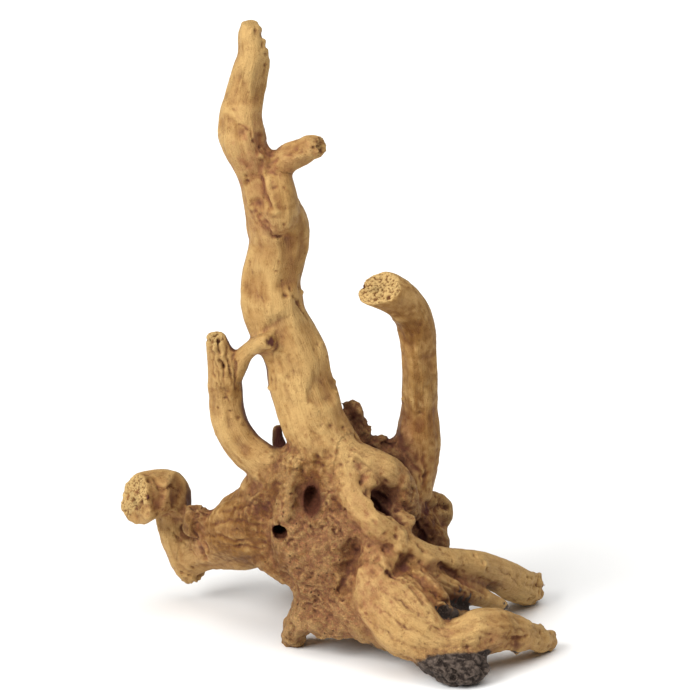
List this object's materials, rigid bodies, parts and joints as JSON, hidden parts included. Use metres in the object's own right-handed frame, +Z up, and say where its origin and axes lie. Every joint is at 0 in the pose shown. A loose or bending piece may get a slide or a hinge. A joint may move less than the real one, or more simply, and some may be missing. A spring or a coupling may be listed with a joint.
{
  "type": "coffee root driftwood",
  "caption": "Gnarled piece of coffee root wood that stands on its own root ends, used as an upright ornament in a tank or on a shelf.",
  "frame": {"origin": "middle of the outer box at the level of the ground that the root ends stand on", "axes": "+Z up along the trunk, +X to the right as seen from the front, +Y away from the front"},
  "size_m": [0.266, 0.1776, 0.3866],
  "materials": {
    "wood": "dry, satin, bare wood"
  },
  "bodies": {
    "root": {"coffee_root": "wood"}
  },
  "joints": []
}
